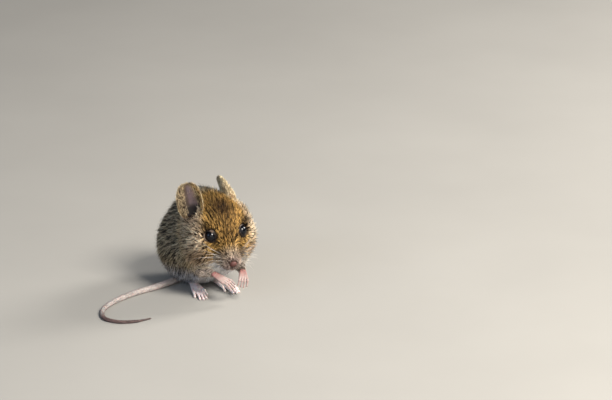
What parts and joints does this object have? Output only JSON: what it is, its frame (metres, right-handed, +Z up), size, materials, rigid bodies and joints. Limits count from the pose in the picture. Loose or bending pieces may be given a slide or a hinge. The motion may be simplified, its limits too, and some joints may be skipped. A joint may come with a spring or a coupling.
{
  "type": "young field mouse",
  "caption": "Still, life-size young field mouse sitting hunched on its haunches, forepaws held under its muzzle, bare tail laid out in a hook.",
  "frame": {"origin": "on the floor, under the centre of the bounding box of the whole mouse and its laid-out tail", "axes": "+Z up, the mouse faces -Y, its left side is towards +X and its tail lies towards -X"},
  "size_m": [0.0598, 0.0412, 0.0406],
  "materials": {
    "coat": "soft fur, ochre and slate brown above, pale grey to white below",
    "nose": "bare, slightly moist",
    "eye": "wet and glossy",
    "ear": "thin skin with very fine short hair",
    "bare_skin": "bare pink skin",
    "tail": "finely ringed bare skin with sparse short hair"
  },
  "bodies": {
    "root": {"head": "coat", "neck": "coat", "trunk": "coat", "thigh_left": "coat", "thigh_right": "coat", "foreleg_left": "coat", "foreleg_right": "coat", "nose": "nose", "eye_left": "eye", "eye_right": "eye", "ear_left": "ear", "ear_right": "ear", "forepaw_left": "bare_skin", "forepaw_right": "bare_skin", "hind_foot_left": "bare_skin", "hind_foot_right": "bare_skin", "tail_1": "tail", "tail_2": "tail", "tail_3": "tail", "tail_4": "tail", "tail_5": "tail", "tail_6": "tail"}
  },
  "joints": []
}
